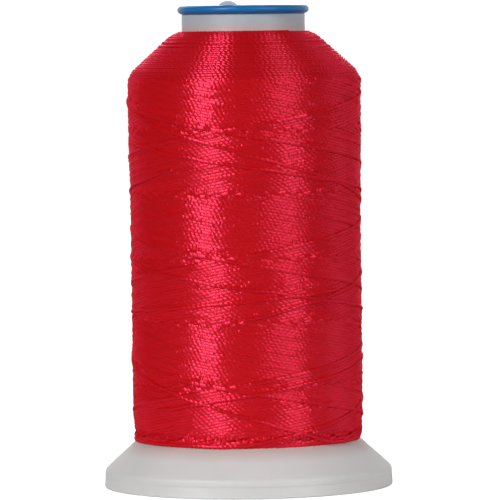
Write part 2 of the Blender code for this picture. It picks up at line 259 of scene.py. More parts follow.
class StageSettings(PropertyGroup):
    """Camera and light."""

    camera_distance: metres("Distance", "From the camera to the spool's axis", 0.652)
    camera_height: metres("Height", "Height of the camera above the floor", 0.06825)
    pixels_per_metre: FloatProperty(
        name="Scale", description="Pixels that one metre takes at the spool's axis", default=6821.0)
    middle_right: FloatProperty(
        name="Middle", description="Where the spool's axis lies in the picture, in pixels from the left",
        default=246.0)
    horizon_down: FloatProperty(
        name="Horizon", description="Where the camera's level lies, in pixels from the top", default=20.0)
    roll: degrees("Roll", "Lean of the spool in the picture", 0.70)
    key_power: watts("Key", "Power of the high left lamp", 3.7)
    key_low_power: watts("Low key", "Power of the low left lamp", 1.40)
    fill_power: watts("Fill", "Power of the high right lamp", 1.5)
    fill_low_power: watts("Low fill", "Power of the low right lamp", 1.1)
    side_power: watts("Side", "Power of the lamp far to the right", 0.74)
    rear_power: watts("Rear", "Power of the high lamp behind", 2.5)
    rear_low_power: watts("Low rear", "Power of the low lamp behind", 1.0)
    sky: FloatProperty(name="Sky", description="Strength of the soft light from all round", default=0.11)


def fillet(points, steps=6, closed=True, most=0.49):
    """Rounds the corners of an outline. Each point is (radius, height, corner radius).

    A corner takes at most that share of the sides it lies between.
    """
    rounded = []
    count = len(points)
    for index, (radius, height, corner) in enumerate(points):
        here = np.array((radius, height))
        inner = closed or 0 < index < count - 1
        if corner <= 0.0 or not inner:
            rounded.append(here)
            continue
        before = np.array(points[index - 1][:2]) - here
        after = np.array(points[(index + 1) % count][:2]) - here
        size_before, size_after = np.linalg.norm(before), np.linalg.norm(after)
        before, after = before / size_before, after / size_after
        half = math.acos(float(np.clip(np.dot(before, after), -1.0, 1.0))) / 2.0
        cut = min(corner / math.tan(half), most * size_before, most * size_after)
        corner = cut * math.tan(half)
        middle = here + (before + after) / np.linalg.norm(before + after) * corner / math.sin(half)
        start, end = here + before * cut - middle, here + after * cut - middle
        turn = math.atan2(start[0] * end[1] - start[1] * end[0], float(np.dot(start, end)))
        for step in range(steps + 1):
            angle = turn * step / steps
            spin = np.array(((math.cos(angle), -math.sin(angle)), (math.sin(angle), math.cos(angle))))
            rounded.append(middle + spin @ start)
    return np.array(rounded)


def set_faces(mesh, points, corners, starts):
    """Fills a mesh from arrays of points, face corners and where each face starts."""
    mesh.vertices.add(len(points))
    mesh.vertices.foreach_set("co", np.asarray(points, np.float32).ravel())
    mesh.loops.add(len(corners))
    mesh.loops.foreach_set("vertex_index", np.asarray(corners, np.int32))
    mesh.polygons.add(len(starts))
    mesh.polygons.foreach_set("loop_start", np.asarray(starts, np.int32))
    mesh.update(calc_edges=True)


def new_piece(name, mesh, material):
    piece = bpy.data.objects.new(name, mesh)
    mesh.materials.append(material)
    bpy.context.scene.collection.objects.link(piece)
    return piece


def turned_mesh(name, outline, segments):
    """A closed outline, listed clockwise in radius and height, turned about Z."""
    rows = len(outline)
    angles = 2.0 * math.pi * np.arange(segments) / segments
    points = np.empty((segments, rows, 3))
    points[:, :, 0] = np.cos(angles)[:, None] * outline[:, 0]
    points[:, :, 1] = np.sin(angles)[:, None] * outline[:, 0]
    points[:, :, 2] = outline[:, 1]
    column, row = np.meshgrid(np.arange(segments), np.arange(rows), indexing="ij")
    next_column, next_row = (column + 1) % segments, (row + 1) % rows
    quads = np.stack(
        (column * rows + row, column * rows + next_row,
         next_column * rows + next_row, next_column * rows + row), axis=-1).reshape(-1, 4)
    mesh = bpy.data.meshes.new(name)
    set_faces(mesh, points.reshape(-1, 3), quads.ravel(), 4 * np.arange(len(quads)))
    smooth(mesh)
    return mesh


def smooth(mesh, angle=math.radians(38.0)):
    mesh.shade_smooth()
    mesh.set_sharp_from_angle(angle=angle)


def apply_boolean(piece, other, operation):
    change = piece.modifiers.new("Join", "BOOLEAN")
    change.operation = operation
    change.object = other
    change.solver = "EXACT"
    graph = bpy.context.evaluated_depsgraph_get()
    mesh = bpy.data.meshes.new_from_object(piece.evaluated_get(graph))
    piece.modifiers.clear()
    piece.data = mesh
    smooth(mesh)
    bpy.data.objects.remove(other, do_unlink=True)


def add_node(tree, kind, **values):
    node = tree.nodes.new(kind)
    for name, value in values.items():
        setattr(node, name, value)
    return node


def grain_group():
    """Fine moulded grain: a slow drift of tone, a fine roughness and a shallow surface wave."""
    group = bpy.data.node_groups.get("moulded_grain")
    if group:
        return group
    group = bpy.data.node_groups.new("moulded_grain", "ShaderNodeTree")
    noises = (("Tone", 120.0, 3.0), ("Grain", 5000.0, 2.0), ("Wave", 420.0, 1.0))
    for label, scale, _ in noises:
        size = group.interface.new_socket(label + " scale", in_out="INPUT", socket_type="NodeSocketFloat")
        size.default_value = scale
        group.interface.new_socket(label, in_out="OUTPUT", socket_type="NodeSocketFloat")
    put = add_node(group, "NodeGroupInput")
    out = add_node(group, "NodeGroupOutput")
    where = add_node(group, "ShaderNodeTexCoord")
    for label, _, detail in noises:
        noise = add_node(group, "ShaderNodeTexNoise")
        noise.inputs["Detail"].default_value = detail
        group.links.new(where.outputs["Object"], noise.inputs["Vector"])
        group.links.new(put.outputs[label + " scale"], noise.inputs["Scale"])
        group.links.new(noise.outputs["Fac"], out.inputs[label])
    return group


def value_range(tree, source, levels, run=(0.0, 1.0)):
    """Maps an output that goes over a run of values onto a pair of levels."""
    node = add_node(tree, "ShaderNodeMapRange")
    node.inputs["From Min"].default_value, node.inputs["From Max"].default_value = run
    node.inputs["To Min"].default_value, node.inputs["To Max"].default_value = levels
    tree.links.new(source, node.inputs["Value"])
    return node.outputs["Result"]


def colour_between(tree, factor, dark, light):
    node = add_node(tree, "ShaderNodeMix", data_type="RGBA")
    node.inputs[MIX_DARK].default_value = (*dark, 1.0)
    node.inputs[MIX_LIGHT].default_value = (*light, 1.0)
    tree.links.new(factor, node.inputs[MIX_FACTOR])
    return node.outputs[MIX_RESULT]


def height_colour(tree, stops):
    """Colour that changes with height: stops are (height in metres, colour)."""
    where = add_node(tree, "ShaderNodeTexCoord")
    parts = add_node(tree, "ShaderNodeSeparateXYZ")
    tree.links.new(where.outputs["Object"], parts.inputs["Vector"])
    top = stops[-1][0]
    share = value_range(tree, parts.outputs["Z"], (0.0, 1.0), (0.0, top))
    ramp = add_node(tree, "ShaderNodeValToRGB")
    while len(ramp.color_ramp.elements) < len(stops):
        ramp.color_ramp.elements.new(0.5)
    for element, (height, colour) in zip(ramp.color_ramp.elements, stops):
        element.position = height / top
        element.color = (*colour, 1.0)
    tree.links.new(share, ramp.inputs["Fac"])
    return ramp.outputs["Color"]


def new_material(name):
    """A new material, its node tree and its shader."""
    material = bpy.data.materials.new(name)
    material.use_nodes = True
    tree = material.node_tree
    return material, tree, tree.nodes["Principled BSDF"]


def shade_base(tree, shader, colour, tone):
    """Feeds a colour to the shader's base, made lighter or darker by a tone."""
    scale = add_node(tree, "ShaderNodeVectorMath", operation="SCALE")
    tree.links.new(colour, scale.inputs[0])
    tree.links.new(tone, scale.inputs["Scale"])
    tree.links.new(scale.outputs["Vector"], shader.inputs["Base Color"])


def moulded_plastic(name, stops, roughness, translucent, ior):
    """Moulded plastic with a slow tone drift, fine roughness grain and a faint wave in its gloss."""
    material, tree, shader = new_material(name)
    grain = add_node(tree, "ShaderNodeGroup", node_tree=grain_group())
    tone = value_range(tree, grain.outputs["Tone"], TONE_DRIFT)
    shade_base(tree, shader, height_colour(tree, stops), tone)
    rough = value_range(tree, grain.outputs["Grain"], [roughness * depth for depth in GRAIN_DEPTH])
    tree.links.new(rough, shader.inputs["Roughness"])
    bump = add_node(tree, "ShaderNodeBump")
    bump.inputs["Strength"].default_value = 0.25
    bump.inputs["Distance"].default_value = 0.00003
    tree.links.new(grain.outputs["Wave"], bump.inputs["Height"])
    tree.links.new(bump.outputs["Normal"], shader.inputs["Normal"])
    shader.inputs["IOR"].default_value = ior
    shader.inputs["Subsurface Weight"].default_value = translucent
    shader.inputs["Subsurface Radius"].default_value = (1.0, 0.9, 0.85)
    shader.inputs["Subsurface Scale"].default_value = 0.0004
    return material


def thread_material(settings):
    """Lustrous filament thread: painted shade in the grooves between plies, a tone for each strand, gloss
    drawn out across the fibres.
    """
    material = bpy.data.materials.get("lustrous_thread")
    if material:
        return material
    material, tree, shader = new_material("lustrous_thread")
    crest = add_node(tree, "ShaderNodeAttribute", attribute_name="crest")
    tint = add_node(tree, "ShaderNodeAttribute", attribute_name="tint")
    # Painted shade: darker in the grooves between plies, lighter on the crests.
    body = colour_between(tree, crest.outputs["Fac"], settings.painted_groove_shade, settings.red)
    shade_base(tree, shader, body, value_range(tree, tint.outputs["Fac"], STRAND_TONES))
    rough = value_range(tree, tint.outputs["Fac"], STRAND_ROUGHNESS)
    tree.links.new(rough, shader.inputs["Roughness"])
    tangent = add_node(tree, "ShaderNodeTangent", direction_type="UV_MAP", uv_map=STRAND_MAP)
    tree.links.new(tangent.outputs["Tangent"], shader.inputs["Tangent"])
    shader.inputs["Anisotropic"].default_value = 0.90
    shader.inputs["Anisotropic Rotation"].default_value = 0.25
    shader.inputs["IOR"].default_value = 4.5
    shader.inputs["Specular Tint"].default_value = (*settings.sheen, 1.0)
    return material


class Surface:
    """Outside of the thread package: radius, height and normal at a distance up it, in millimetres."""

    SIDE_POINTS = 120
    BEND_STEPS = 12
    SWELL_START = 0.036     # metres above the flange
    SWELL_RUN = 0.008       # metres in which the side swells
    DRAW_RUN = 0.0025       # metres in which the draw at the flange fades

    def __init__(self, thread, moulding):
        low = self.cone_height(moulding, WINDING_HIGH.x - thread.swell - thread.foot_draw)
        radius = WINDING_HIGH.x - thread.swell
        top = CORE_HIGH.z
        neck = moulding.barrel_radius + thread.neck_flat
        corner = top - (radius + thread.swell - neck) * math.tan(thread.shoulder_angle)
        side = []
        for share in np.linspace(0.0, 1.0, self.SIDE_POINTS):
            height = low + (corner - low) * share
            rise = np.clip((height - low - self.SWELL_START) / self.SWELL_RUN, 0.0, 1.0)
            swell = thread.swell * rise * rise * (3.0 - 2.0 * rise)
            draw = thread.foot_draw * math.exp(-(height - low) / self.DRAW_RUN)
            side.append((radius + swell - draw, height))
        reach = 2.0 * thread.shoulder_round
        kept = [point for point in side if point[1] < corner - reach]
        inside = moulding.barrel_radius / 2.0
        bend = fillet([(*kept[-1], 0.0), (side[-1][0], corner, thread.shoulder_round),
                       (neck, top, thread.neck_round), (inside, top, 0.0)],
                      steps=self.BEND_STEPS, closed=False)
        shape = np.concatenate((np.array(kept[:-1]), bend)) / MM
        steps = np.linalg.norm(np.diff(shape, axis=0), axis=1)
        self.distance = np.concatenate(((0.0,), np.cumsum(steps)))
        self.radius, self.height = shape[:, 0], shape[:, 1]
        tangent = np.gradient(shape, self.distance, axis=0)
        tangent /= np.linalg.norm(tangent, axis=1)[:, None]
        self.normal_out, self.normal_up = tangent[:, 1], -tangent[:, 0]
        barrel = moulding.barrel_radius / MM
        bend_points = self.BEND_STEPS + 2
        self.length = float(np.interp(-barrel, -self.radius[-bend_points:], self.distance[-bend_points:]))
        self.corner = float(np.interp(corner / MM, self.height, self.distance))

    @staticmethod
    def cone_height(moulding, radius):
        rise = (BARREL_HIGH.x - radius) * math.tan(moulding.cone_angle)
        return moulding.flange_rim_top + rise

    def at(self, distance):
        """Radius, height, and the outward normal's two parts."""
        return [np.interp(distance, self.distance, track)
                for track in (self.radius, self.height, self.normal_out, self.normal_up)]


class Strand:
    """One run of thread: angle, distance up the surface and top height at even steps along it."""

    def __init__(self, angle, distance, top, twist):
        self.angle = angle
        self.distance = distance
        self.top = top
        self.twist = twist
        self.sunk = 0.0
        self.play = 1.0
        self.shown = np.ones(len(angle), bool)


class Winder:
    """Lays strokes on a map of the package's height, as a winding machine does."""

    ROW = 0.10          # millimetres up the surface to a cell
    COLUMN = 0.25       # millimetres round the surface to a cell
    DROPS = ((0, 0.0), (-1, 0.02), (1, 0.02), (-2, 0.09), (2, 0.09))    # rows aside, millimetres lower
    REACH = 2           # rows that a strand covers to each side of its middle
    BORDER = 3          # spare rows below the surface's start and above its end
    SAG = 0.3           # how far a strand may sink between those under it, as a share of a layer
    WAVES = 4           # that make up a wander
    WAVE_COUNTS = (2, 16)   # fewest waves along a strand, and one more than the most

    def __init__(self, surface, thread):
        self.surface = surface
        self.layer = thread.layer / MM
        self.step = thread.twist_length / MM / STEPS_PER_TWIST
        self.mean_radius = float(np.mean(surface.radius[surface.distance < surface.corner]))
        self.rows = int(surface.length / self.ROW) + 2 * self.BORDER + self.REACH
        self.columns = int(2.0 * math.pi * self.mean_radius / self.COLUMN)
        self.height = np.zeros((self.rows, self.columns))
        self.random = np.random.default_rng(thread.seed)

    def cells(self, angle, distance):
        row = np.rint(distance / self.ROW).astype(int) + self.BORDER
        row = np.clip(row, self.REACH, self.rows - 1 - self.REACH)
        column = np.floor(angle / (2.0 * math.pi) * self.columns).astype(int) % self.columns
        return row, column

    def lay(self, angle, distance, twist, settle=4):
        """Rests a strand on what is there, adds it to the height map and returns it."""
        row, column = self.cells(angle, distance)
        under = np.max([self.height[row + shift, column] for shift in (-1, 0, 1)], axis=0)
        padded = np.pad(under, settle, mode="edge")
        window = 2 * settle + 1
        drawn = np.convolve(padded, np.ones(window) / window, mode="valid")
        top = np.maximum(drawn, under - self.SAG * self.layer) + self.layer
        for shift, drop in self.DROPS:
            np.maximum.at(self.height, (row + shift, column), top - drop)
        return Strand(angle, distance, top, twist)

    def wander(self, count, size):
        """A slow sideways wander along a strand."""
        along = np.linspace(0.0, 2.0 * math.pi, count)
        waves = self.random.integers(*self.WAVE_COUNTS, self.WAVES)
        phases = self.random.uniform(0.0, 2.0 * math.pi, self.WAVES)
        return size * sum(np.sin(wave * along + phase) for wave, phase in zip(waves, phases)) / 2.0


def stroke_rise(share, ease):
    """Height gained along a stroke, from 0 to 1, easing into the turn at both ends."""
    rise = (share - ease / 2.0) / (1.0 - ease)
    rise = np.where(share < ease, share**2 / (2.0 * ease * (1.0 - ease)), rise)
    left = 1.0 - share
    return np.where(left < ease, 1.0 - left**2 / (2.0 * ease * (1.0 - ease)), rise)


def wind_strokes(winder, thread):
    """Lays two rounds of strokes and returns the strands of the second, which cover the first."""
    surface = winder.surface
    first, last = STROKE_START, surface.corner + STROKE_OVERRUN
    climb = last - first
    lead = climb / thread.turns_per_stroke
    slope = math.atan2(lead, 2.0 * math.pi * winder.mean_radius)
    doubles = round(lead * math.cos(slope) / (thread.spacing / MM))
    shift = -2.0 * math.pi / doubles
    sweep = 2.0 * math.pi * thread.turns_per_stroke + shift / 2.0
    count = int(math.hypot(climb, sweep * winder.mean_radius) / winder.step)
    share = np.linspace(0.0, 1.0, count)
    rise = stroke_rise(share, STROKE_EASE)
    start = thread.front_angle + math.pi
    strands = []
    up, down = 1, -1
    twist_of = {up: 0.0, down: PLY_OFFSET}
    for double in range(2 * doubles):
        for way in (up, down):
            angle = start + double * shift + (0.0 if way == up else sweep) + share * sweep
            distance = first + climb * (rise if way == up else 1.0 - rise)
            distance = distance + winder.wander(count, WANDER)
            twist_of[way] += math.pi * (PLY_SHIFT + PLY_JITTER * winder.random.standard_normal())
            twist = twist_of[way] + 2.0 * math.pi * np.arange(count) / STEPS_PER_TWIST
            strand = winder.lay(angle, distance, twist)
            hold_at_ends(strand, surface.corner, first)
            if double >= doubles:
                strands.append(strand)
    return strands


def hold_at_ends(strand, corner, first):
    """Sinks a stroke under the shoulder's turns, and lets it ride up less near both of its ends."""
    distance = strand.distance
    sink, sink_lead, calm_lead = 0.40, 0.9, 0.4
    strand.sunk = sink * np.clip(distance - corner + sink_lead, 0.0, 1.0)
    strand.play = np.clip(corner - calm_lead - distance, 0.0, 1.0)
    calm_start, calm_run, least_play = 0.1, 0.8, 0.25
    strand.play *= np.clip((distance - first - calm_start) / calm_run, least_play, 1.0)


def wind_shoulder(winder, thread, mean):
    """One spiral of level turns, from the side's upper end over the shoulder to the barrel."""
    surface = winder.surface
    pitch = thread.spacing / MM * SHOULDER_PITCH
    first, last = surface.corner - SHOULDER_LAP, surface.length - SHOULDER_END
    steps = [first]
    angles = [thread.front_angle]
    while steps[-1] < last:
        radius = float(np.interp(steps[-1], surface.distance, surface.radius))
        turn = winder.step / radius
        angles.append(angles[-1] + turn)
        steps.append(steps[-1] + pitch * turn / (2.0 * math.pi))
    angle, distance = np.array(angles), np.array(steps)
    distance = distance + winder.wander(len(distance), WANDER)
    distance = distance + SHOULDER_SWAY * np.sin(angle * SHOULDER_SWAY_RATE)
    row, _ = winder.cells(angle, distance)
    ride = -SHOULDER_SINK * np.exp(-(distance - first) / SHOULDER_SINK_RUN)
    loose = np.clip((distance - surface.corner - SHOULDER_LOOSE_RUN) / SHOULDER_LOOSE_RUN, 0.0, 1.0)
    ride = ride + loose * winder.wander(len(distance), SHOULDER_LOOSE)
    twist = 2.0 * math.pi * np.arange(len(angle)) / STEPS_PER_TWIST
    return Strand(angle, distance, mean[row] + ride, twist)


def lay_strays(winder):
    """The last loose strands, which lie across the finished strokes."""
    surface = winder.surface
    strands = []
    for front, height, lead, turns in STRAYS:
        sweep = 2.0 * math.pi * turns
        count = int(sweep * winder.mean_radius / winder.step)
        spin = np.linspace(-sweep / 2.0, sweep / 2.0, count)
        angle = math.radians(front - 90.0) + spin
        middle = float(np.interp(height, surface.height, surface.distance))
        distance = np.clip(middle + lead * spin / (2.0 * math.pi), STRAY_START, surface.corner)
        distance = distance + winder.wander(count, STRAY_WANDER)
        twist = 2.0 * math.pi * np.arange(count) / STEPS_PER_TWIST + winder.random.uniform(0.0, STRAY_PHASE)
        strands.append(winder.lay(angle, distance, twist, settle=STRAY_SETTLE))
    return strands


def hide_covered(winder, strands, keep=14, depth=0.45):
    """Marks what later strands cover deeper than a share of a layer, keeping a little more than shows."""
    for strand in strands:
        row, column = winder.cells(strand.angle, strand.distance)
        bare = winder.height[row, column] - strand.top < depth * winder.layer
        padded = np.pad(bare.astype(float), keep)
        strand.shown = np.convolve(padded, np.ones(2 * keep + 1), mode="valid") > 0.5


def relief(winder, reach=6, covered=0.95):
    """Mean height of the laid strands at each distance up the surface, from the rows they cover."""
    mean = winder.height.mean(axis=1)
    laid = np.flatnonzero((winder.height > 0.0).mean(axis=1) > covered)
    mean = np.interp(np.arange(winder.rows), laid, mean[laid])
    padded = np.pad(mean, reach, mode="edge")
    window = np.hanning(2 * reach + 3)[1:-1]
    return np.convolve(padded, window / window.sum(), mode="valid")


class StrandMesh:
    """Gathers strands into one mesh of twisted two-ply tubes with a map along them."""

    # Places round a strand, in degrees from its outer side towards the floor.
    PLACES = (-88.0, -42.0, 0.0, 42.0, 88.0, 180.0)
    SIDES = len(PLACES)
    RIDE = 0.7              # share of the height map's bumps that a strand follows
    RIDE_LIMITS = (-0.40, 0.24)     # millimetres below and above the mean surface
    SHORTEST = 6            # steps in the shortest run that is kept
    MAP_GAP = 1.0           # millimetres between runs on the map
    MAP_SIDE = 0.2          # millimetres to a strand's side on the map

    def __init__(self, winder, thread, mean, flatten):
        self.winder = winder
        self.mean = mean
        self.flatten = flatten
        self.places = np.radians(self.PLACES)
        self.valley = thread.valley_radius / MM
        self.relief = thread.crest_radius / MM - self.valley
        self.half = (self.valley + self.relief / 2.0) * flatten
        self.points, self.corners, self.starts = [], [], []
        self.crests, self.tints, self.maps = [], [], []
        self.point_count, self.corner_count, self.along = 0, 0, 0.0

    def middle(self, strand):
        """Middle line of a strand in millimetres, with the surface normal."""
        radius, height, out, up = self.winder.surface.at(strand.distance)
        row, _ = self.winder.cells(strand.angle, strand.distance)
        lift = strand.play * np.clip(self.RIDE * (strand.top - self.mean[row]), *self.RIDE_LIMITS)
        lift = lift - strand.sunk - self.half
        around = np.stack((np.cos(strand.angle), np.sin(strand.angle)), axis=1)
        line = np.empty((len(radius), 3))
        line[:, :2] = around * (radius + out * lift)[:, None]
        line[:, 2] = height + up * lift
        normal = np.empty_like(line)
        normal[:, :2] = around * out[:, None]
        normal[:, 2] = up
        return line, normal

    def add(self, strand, tint):
        line, normal = self.middle(strand)
        edges = np.flatnonzero(np.diff(np.concatenate(((0,), strand.shown.astype(int), (0,)))))
        for begin, end in zip(edges[::2], edges[1::2]):
            if end - begin >= self.SHORTEST:
                self.add_run(line[begin:end], normal[begin:end], strand.twist[begin:end], tint)

    def add_run(self, line, normal, twist, tint):
        count, sides = len(line), self.SIDES
        along = np.gradient(line, axis=0)
        along /= np.linalg.norm(along, axis=1)[:, None]
        across = np.cross(along, normal)
        across /= np.linalg.norm(across, axis=1)[:, None]
        out = np.cross(across, along)
        ply = ((self.places[None, :] - twist[:, None]) / math.pi) % 1.0
        crest = 1.0 - (2.0 * ply - 1.0) ** 2
        ring = (np.cos(self.places)[None, :, None] * out[:, None, :] * self.flatten
                + np.sin(self.places)[None, :, None] * across[:, None, :] / self.flatten)
        points = line[:, None, :] + ring * (self.valley + self.relief * crest)[..., None]
        base = self.point_count + np.arange(count * sides).reshape(count, sides)
        quads = np.stack((base[:-1], np.roll(base, -1, axis=1)[:-1],
                          np.roll(base, -1, axis=1)[1:], base[1:]), axis=-1).reshape(-1, 4)
        self.points.append(points.reshape(-1, 3) * MM)
        self.corners += [quads.ravel(), base[0, ::-1], base[-1]]
        first = self.corner_count
        self.starts += [first + 4 * np.arange(len(quads)),
                        np.array((first + 4 * len(quads), first + 4 * len(quads) + sides))]
        self.corner_count += 4 * len(quads) + 2 * sides
        self.crests.append(crest.ravel())
        self.tints.append(np.full(count * sides, tint))
        step = np.linalg.norm(np.diff(line, axis=0), axis=1)
        reach = self.along + np.concatenate(((0.0,), np.cumsum(step)))
        self.along = reach[-1] + self.MAP_GAP
        side = np.arange(sides)
        low = np.broadcast_to(reach[:-1, None], (count - 1, sides))
        high = np.broadcast_to(reach[1:, None], (count - 1, sides))
        near = np.broadcast_to(side, (count - 1, sides))
        flat = np.stack((np.stack((low, near, low), -1), np.stack((low, near + 1, low), -1),
                         np.stack((high, near + 1, low), -1), np.stack((high, near, low), -1)), axis=2)
        self.maps.append(flat.reshape(-1, 3))
        ends = np.zeros((2 * sides, 3))
        ends[:sides] = (reach[0], 0.0, reach[0])
        ends[sides:] = (reach[-1], 0.0, reach[-1])
        self.maps.append(ends)
        self.point_count += count * sides

    def strips(self):
        """Map coordinates: the thread's length cut into strips that fill a square."""
        flat = np.concatenate(self.maps)
        width = math.sqrt(self.along * (self.SIDES + 1) * self.MAP_SIDE)
        rows = math.ceil(self.along / width)
        row = np.floor(flat[:, 2] / width)
        across = (flat[:, 0] - row * width) / (width + self.MAP_GAP / 2.0)
        up = (row + (flat[:, 1] + 0.5) / (self.SIDES + 1)) / (rows + 1)
        return np.stack((across, up), axis=1)

    def build(self, name, material):
        mesh = bpy.data.meshes.new(name)
        set_faces(mesh, np.concatenate(self.points), np.concatenate(self.corners),
                  np.concatenate(self.starts))
        layer = mesh.uv_layers.new(name=STRAND_MAP)
        layer.uv.foreach_set("vector", self.strips().astype(np.float32).ravel())
        for label, values in (("crest", self.crests), ("tint", self.tints)):
            attribute = mesh.attributes.new(label, "FLOAT", "POINT")
            attribute.data.foreach_set("value", np.concatenate(values).astype(np.float32))
        mesh.shade_smooth()
        return new_piece(name, mesh, material)


class SPOOL_OT_base_cap(Operator):
    """Build the white snap cap under the flange"""

    bl_idname = "spool.base_cap"
    bl_label = "Base cap"

    def execute(self, context):
        size = context.scene.spool_moulding
        bore = size.barrel_radius - size.barrel_wall
        sleeve = bore - size.snap_step - size.fit_gap
        pin = sleeve - size.sleeve_wall
        bead = bore - size.fit_gap
        floor_top = size.cap_rim_height + size.cap_step
        wall = size.flange_wall / math.cos(size.cone_angle)
        seam = BARREL_LOW.z - SEAM_GAP
        step = BARREL_HIGH.x - (floor_top - size.flange_rim_top + wall) / math.tan(size.cone_angle)
        step -= 2.0 * size.fit_gap
        foot = CAP_HIGH.x - FOOT_ROUND - size.foot_width
        bead_top = CAP_HIGH.z - (bead - sleeve)
        edge = size.edge_round
        outline = fillet([
            (sleeve, CAP_HIGH.z, edge), (bead, bead_top, edge), (bead, bead_top - SNAP_HEIGHT, edge / 2.0),
            (sleeve, bead_top - SNAP_HEIGHT, edge / 2.0), (sleeve, floor_top, SLEEVE_FILLET),
            (step, floor_top, edge), (step, seam, edge / 4.0), (BARREL_HIGH.x, seam, 0.0),
            (CAP_HIGH.x, FOOT_ROUND, FOOT_ROUND / 2.0),
            (CAP_HIGH.x - FOOT_ROUND / 2.0, 0.0, FOOT_ROUND / 2.0),
            (foot, 0.0, edge), (foot - size.cap_recess, size.cap_recess, edge),
            (pin, size.cap_recess, edge), (pin, CAP_HIGH.z, edge)])
        stops = ((0.0, size.white), (CAP_HIGH.z, size.white))
        white = moulded_plastic("white_cap", stops, roughness=0.38, translucent=0.20, ior=1.49)
        piece = new_piece("snap_cap", turned_mesh("snap_cap", outline, size.segments), white)
        for index in range(FINGER_SLOTS // 2):
            bpy.ops.mesh.primitive_cube_add(size=1.0)
            slot = context.object
            slot.scale = (4.0 * bead, FINGER_SLOT, 2.0 * FINGER_SLOT_LENGTH)
            slot.location = (0.0, 0.0, CAP_HIGH.z)
            slot.rotation_euler = (0.0, 0.0, 2.0 * math.pi * (index + 0.5) / FINGER_SLOTS)
            apply_boolean(piece, slot, "DIFFERENCE")
        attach(piece, "base")
        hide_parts("base_cap")
        return {"FINISHED"}


class SPOOL_OT_barrel(Operator):
    """Build the white barrel with its conical flange and its lug"""

    bl_idname = "spool.barrel"
    bl_label = "Barrel"

    def execute(self, context):
        size = context.scene.spool_moulding
        bore = size.barrel_radius - size.barrel_wall
        spigot = bore + size.spigot_wall
        rim = BARREL_HIGH.x
        edge = size.edge_round
        top = RING_HIGH.z - size.fit_gap
        shoulder = RING_LOW.z - SEAM_GAP
        slope = math.tan(size.cone_angle)
        wall = size.flange_wall / math.cos(size.cone_angle)
        root = size.flange_rim_top + (rim - size.barrel_radius) * slope
        hollow = size.flange_rim_top + (rim - bore) * slope - wall
        rim_inside = rim - (BARREL_LOW.z - size.flange_rim_top + wall) / slope
        rib = hollow + SNAP_LEAD
        rib_top = rib + size.snap_step + SNAP_HEIGHT
        outline = fillet([
            (spigot, top, edge), (spigot, shoulder, 0.0), (size.barrel_radius, shoulder, edge / 2.0),
            (size.barrel_radius, root, ROOT_FILLET), (rim, size.flange_rim_top, RIM_ROUND * edge),
            (rim, BARREL_LOW.z, 0.0), (rim_inside, BARREL_LOW.z, edge / 2.0), (bore, hollow, edge),
            (bore, rib, 0.0), (bore - size.snap_step, rib + size.snap_step, edge / 2.0),
            (bore - size.snap_step, rib_top, edge / 2.0), (bore, rib_top, 0.0), (bore, top, edge)])
        near_thread = Surface.cone_height(size, CORE_HIGH.x)
        # Painted light by height: red light and shade from the thread on the barrel next to it, and above
        # it painted shade and blue light from the ring.
        stops = (
            (0.0, size.white), (near_thread - PAINTED_BOUNCE_BELOW, size.white), (near_thread, size.painted_red_bounce),
            (CORE_HIGH.z, size.painted_red_bounce), (CORE_HIGH.z + PAINTED_BOUNCE_ABOVE, size.painted_tube_shade),
            (BARREL_HIGH.z, size.painted_tube_shade))
        white = moulded_plastic("white_barrel", stops, roughness=0.46, translucent=0.30, ior=1.49)
        mesh = turned_mesh("barrel_and_flange", outline, size.segments)
        piece = new_piece("barrel_and_flange", mesh, white)
        rise = BARREL_HIGH.z - RING_HIGH.z
        radius = (size.lug_width**2 / 4.0 + rise**2) / (2.0 * rise)
        middle = (bore + spigot) / 2.0
        bpy.ops.mesh.primitive_cylinder_add(vertices=96, radius=radius, depth=LUG_THICKNESS)
        lug = context.object
        lug.rotation_euler = (math.pi / 2.0, 0.0, -size.lug_angle)
        lug.location = (-middle * math.sin(size.lug_angle), -middle * math.cos(size.lug_angle),
                        BARREL_HIGH.z - radius)
        apply_boolean(piece, lug, "UNION")
        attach(piece, "spool")
        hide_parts("spool_barrel")
        return {"FINISHED"}


class SPOOL_OT_top_ring(Operator):
    """Build the blue ring at the top of the barrel"""

    bl_idname = "spool.top_ring"
    bl_label = "Top ring"

    def execute(self, context):
        size = context.scene.spool_moulding
        inside = size.barrel_radius - size.barrel_wall + size.spigot_wall + size.fit_gap / 3.0
        outside = RING_HIGH.x
        half = (RING_HIGH.z - RING_LOW.z) / 2.0
        turns = np.linspace(math.pi / 2.0, -math.pi / 2.0, RING_STEPS)
        face = outside - RING_NOSE + RING_NOSE * np.cos(turns)
        level = RING_LOW.z + half + half * np.sin(turns)
        outline = list(zip(face, level))
        outline += [(inside + RING_CORNER, RING_LOW.z), (inside, RING_LOW.z + RING_CORNER),
                    (inside, RING_HIGH.z - RING_CORNER), (inside + RING_CORNER, RING_HIGH.z)]
        stops = ((0.0, size.blue), (RING_HIGH.z, size.blue))
        blue = moulded_plastic("blue_moulding", stops, roughness=0.36, translucent=0.55, ior=1.42)
        piece = new_piece("colour_ring", turned_mesh("colour_ring", np.array(outline), size.segments), blue)
        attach(piece, "spool")
        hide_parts("top_ring")
        return {"FINISHED"}


